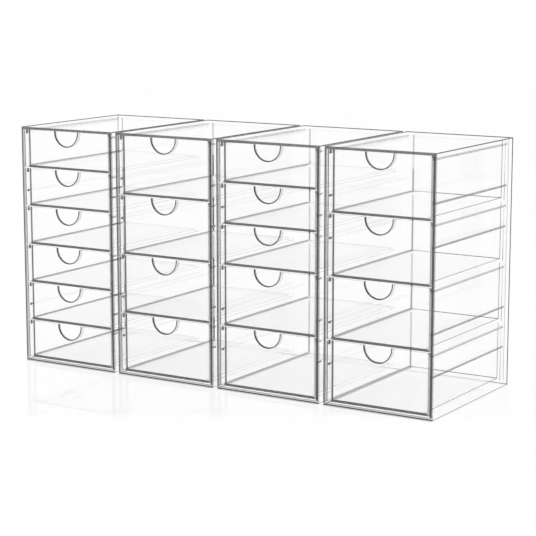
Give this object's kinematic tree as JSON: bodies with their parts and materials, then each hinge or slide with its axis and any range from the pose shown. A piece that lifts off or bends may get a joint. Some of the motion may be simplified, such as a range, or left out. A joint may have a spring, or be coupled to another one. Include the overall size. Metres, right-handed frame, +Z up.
{
  "type": "drawer organizer",
  "caption": "Row of clear acrylic cases for make-up and jewellery: shallow and deep trays with half-moon thumb notches hang by lips on side rails and slide out to the front.",
  "frame": {"origin": "middle of the row's footprint, on the surface that the cases stand on", "axes": "+X along the row to the right as seen from the front, +Y from the drawer fronts to the backs, +Z up"},
  "size_m": [0.4912, 0.171, 0.254],
  "materials": {
    "case_acrylic": "clear polished acrylic sheet",
    "front_acrylic": "clear polished acrylic panel",
    "tray_acrylic": "clear polished acrylic sheet"
  },
  "bodies": {
    "cases": {"case_1_left_side": "case_acrylic", "case_1_right_side": "case_acrylic", "case_1_top": "case_acrylic", "case_1_base": "case_acrylic", "case_1_back": "case_acrylic", "case_2_left_side": "case_acrylic", "case_2_right_side": "case_acrylic", "case_2_top": "case_acrylic", "case_2_base": "case_acrylic", "case_2_back": "case_acrylic", "case_3_left_side": "case_acrylic", "case_3_right_side": "case_acrylic", "case_3_top": "case_acrylic", "case_3_base": "case_acrylic", "case_3_back": "case_acrylic", "case_4_left_side": "case_acrylic", "case_4_right_side": "case_acrylic", "case_4_top": "case_acrylic", "case_4_base": "case_acrylic", "case_4_back": "case_acrylic"},
    "drawer_1_1": {"drawer_1_1_front": "front_acrylic", "drawer_1_1_tray": "tray_acrylic"},
    "drawer_1_2": {"drawer_1_2_front": "front_acrylic", "drawer_1_2_tray": "tray_acrylic"},
    "drawer_1_3": {"drawer_1_3_front": "front_acrylic", "drawer_1_3_tray": "tray_acrylic"},
    "drawer_1_4": {"drawer_1_4_front": "front_acrylic", "drawer_1_4_tray": "tray_acrylic"},
    "drawer_1_5": {"drawer_1_5_front": "front_acrylic", "drawer_1_5_tray": "tray_acrylic"},
    "drawer_1_6": {"drawer_1_6_front": "front_acrylic", "drawer_1_6_tray": "tray_acrylic"},
    "drawer_2_1": {"drawer_2_1_front": "front_acrylic", "drawer_2_1_tray": "tray_acrylic"},
    "drawer_2_2": {"drawer_2_2_front": "front_acrylic", "drawer_2_2_tray": "tray_acrylic"},
    "drawer_2_3": {"drawer_2_3_front": "front_acrylic", "drawer_2_3_tray": "tray_acrylic"},
    "drawer_2_4": {"drawer_2_4_front": "front_acrylic", "drawer_2_4_tray": "tray_acrylic"},
    "drawer_3_1": {"drawer_3_1_front": "front_acrylic", "drawer_3_1_tray": "tray_acrylic"},
    "drawer_3_2": {"drawer_3_2_front": "front_acrylic", "drawer_3_2_tray": "tray_acrylic"},
    "drawer_3_3": {"drawer_3_3_front": "front_acrylic", "drawer_3_3_tray": "tray_acrylic"},
    "drawer_3_4": {"drawer_3_4_front": "front_acrylic", "drawer_3_4_tray": "tray_acrylic"},
    "drawer_3_5": {"drawer_3_5_front": "front_acrylic", "drawer_3_5_tray": "tray_acrylic"},
    "drawer_4_1": {"drawer_4_1_front": "front_acrylic", "drawer_4_1_tray": "tray_acrylic"},
    "drawer_4_2": {"drawer_4_2_front": "front_acrylic", "drawer_4_2_tray": "tray_acrylic"},
    "drawer_4_3": {"drawer_4_3_front": "front_acrylic", "drawer_4_3_tray": "tray_acrylic"},
    "drawer_4_4": {"drawer_4_4_front": "front_acrylic", "drawer_4_4_tray": "tray_acrylic"}
  },
  "joints": [
    {"name": "drawer_1_1_slide", "type": "slide", "parent": "cases", "child": "drawer_1_1", "axis": [0, -1, 0], "range_m": [0, 0.12]},
    {"name": "drawer_1_2_slide", "type": "slide", "parent": "cases", "child": "drawer_1_2", "axis": [0, -1, 0], "range_m": [0, 0.12]},
    {"name": "drawer_1_3_slide", "type": "slide", "parent": "cases", "child": "drawer_1_3", "axis": [0, -1, 0], "range_m": [0, 0.12]},
    {"name": "drawer_1_4_slide", "type": "slide", "parent": "cases", "child": "drawer_1_4", "axis": [0, -1, 0], "range_m": [0, 0.12]},
    {"name": "drawer_1_5_slide", "type": "slide", "parent": "cases", "child": "drawer_1_5", "axis": [0, -1, 0], "range_m": [0, 0.12]},
    {"name": "drawer_1_6_slide", "type": "slide", "parent": "cases", "child": "drawer_1_6", "axis": [0, -1, 0], "range_m": [0, 0.12]},
    {"name": "drawer_2_1_slide", "type": "slide", "parent": "cases", "child": "drawer_2_1", "axis": [0, -1, 0], "range_m": [0, 0.12]},
    {"name": "drawer_2_2_slide", "type": "slide", "parent": "cases", "child": "drawer_2_2", "axis": [0, -1, 0], "range_m": [0, 0.12]},
    {"name": "drawer_2_3_slide", "type": "slide", "parent": "cases", "child": "drawer_2_3", "axis": [0, -1, 0], "range_m": [0, 0.12]},
    {"name": "drawer_2_4_slide", "type": "slide", "parent": "cases", "child": "drawer_2_4", "axis": [0, -1, 0], "range_m": [0, 0.12]},
    {"name": "drawer_3_1_slide", "type": "slide", "parent": "cases", "child": "drawer_3_1", "axis": [0, -1, 0], "range_m": [0, 0.12]},
    {"name": "drawer_3_2_slide", "type": "slide", "parent": "cases", "child": "drawer_3_2", "axis": [0, -1, 0], "range_m": [0, 0.12]},
    {"name": "drawer_3_3_slide", "type": "slide", "parent": "cases", "child": "drawer_3_3", "axis": [0, -1, 0], "range_m": [0, 0.12]},
    {"name": "drawer_3_4_slide", "type": "slide", "parent": "cases", "child": "drawer_3_4", "axis": [0, -1, 0], "range_m": [0, 0.12]},
    {"name": "drawer_3_5_slide", "type": "slide", "parent": "cases", "child": "drawer_3_5", "axis": [0, -1, 0], "range_m": [0, 0.12]},
    {"name": "drawer_4_1_slide", "type": "slide", "parent": "cases", "child": "drawer_4_1", "axis": [0, -1, 0], "range_m": [0, 0.12]},
    {"name": "drawer_4_2_slide", "type": "slide", "parent": "cases", "child": "drawer_4_2", "axis": [0, -1, 0], "range_m": [0, 0.12]},
    {"name": "drawer_4_3_slide", "type": "slide", "parent": "cases", "child": "drawer_4_3", "axis": [0, -1, 0], "range_m": [0, 0.12]},
    {"name": "drawer_4_4_slide", "type": "slide", "parent": "cases", "child": "drawer_4_4", "axis": [0, -1, 0], "range_m": [0, 0.12]}
  ]
}
